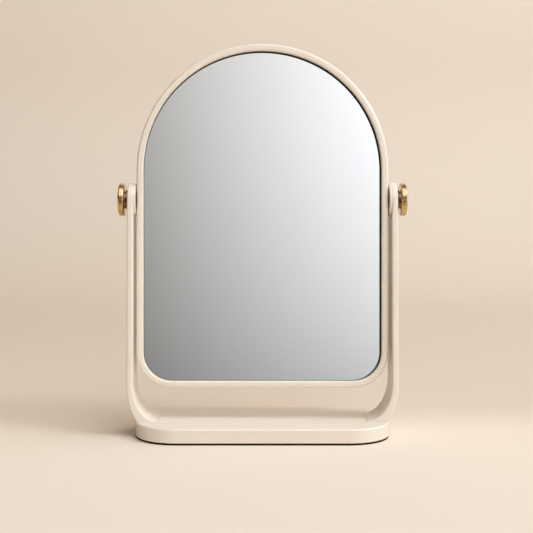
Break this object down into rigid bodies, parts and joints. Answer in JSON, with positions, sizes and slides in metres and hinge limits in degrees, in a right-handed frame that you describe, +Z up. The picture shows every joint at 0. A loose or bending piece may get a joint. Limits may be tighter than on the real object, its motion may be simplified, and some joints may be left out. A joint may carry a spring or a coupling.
{
  "type": "tabletop vanity mirror",
  "caption": "Arched tilting mirror hung between upright arms on a flat rounded base, clamped at its tilt axis by brass thumb knobs, for use on a dressing table.",
  "frame": {"origin": "middle of the sole's underside, on the table", "axes": "+X along the tilt axis to the viewer's right, -Y towards the user in front of the glass, +Z up"},
  "size_m": [0.217, 0.082, 0.2906],
  "materials": {
    "cream_coated_metal": "satin",
    "cream_coated_aluminium": "satin",
    "cream_plastic": "satin",
    "silvered_glass": "polished",
    "brass": "satin",
    "plain_steel": "satin",
    "black_foam": "matte",
    "black_rubber": "matte",
    "nylon": "matte",
    "backing_board": "matte"
  },
  "bodies": {
    "stand": {"base_shell": "cream_coated_metal", "base_sole": "black_foam", "ballast_plate": "plain_steel", "ballast_screws": "plain_steel", "arm_screws": "plain_steel", "left_arm": "cream_coated_metal", "right_arm": "cream_coated_metal", "left_pivot_bush": "nylon", "right_pivot_bush": "nylon"},
    "mirror_head": {"mirror_frame": "cream_coated_aluminium", "mirror_glass": "silvered_glass", "foam_pad": "black_foam", "backing_board": "backing_board", "back_cover": "cream_plastic", "back_cover_screws": "plain_steel", "left_pivot_insert": "brass", "right_pivot_insert": "brass", "left_friction_washer": "black_rubber", "right_friction_washer": "black_rubber"},
    "left_clamp": {"left_thrust_washer": "brass"},
    "right_clamp": {"right_thrust_washer": "brass"},
    "left_thumb_knob": {"left_knob": "brass", "left_pivot_stud": "plain_steel"},
    "right_thumb_knob": {"right_knob": "brass", "right_pivot_stud": "plain_steel"}
  },
  "joints": [
    {"name": "mirror_tilt", "type": "hinge", "parent": "stand", "child": "mirror_head", "pos_m": [0, 0, 0.1747], "axis": [1, 0, 0], "continuous": true},
    {"name": "left_knob_travel", "type": "slide", "parent": "mirror_head", "child": "left_clamp", "axis": [-1, 0, 0], "range_m": [0, 0.00081]},
    {"name": "left_knob_turn", "type": "hinge", "parent": "left_clamp", "child": "left_thumb_knob", "pos_m": [-0.104, 0, 0.1747], "axis": [-1, 0, 0], "range_deg": [0, 360]},
    {"name": "right_knob_travel", "type": "slide", "parent": "mirror_head", "child": "right_clamp", "axis": [1, 0, 0], "range_m": [0, 0.00081]},
    {"name": "right_knob_turn", "type": "hinge", "parent": "right_clamp", "child": "right_thumb_knob", "pos_m": [0.104, 0, 0.1747], "axis": [1, 0, 0], "range_deg": [0, 360]}
  ],
  "couplings": [
    {"joint": "left_knob_travel", "follows": "left_knob_turn", "m_per_rad": 0.00012732},
    {"joint": "right_knob_travel", "follows": "right_knob_turn", "m_per_rad": 0.00012732}
  ]
}
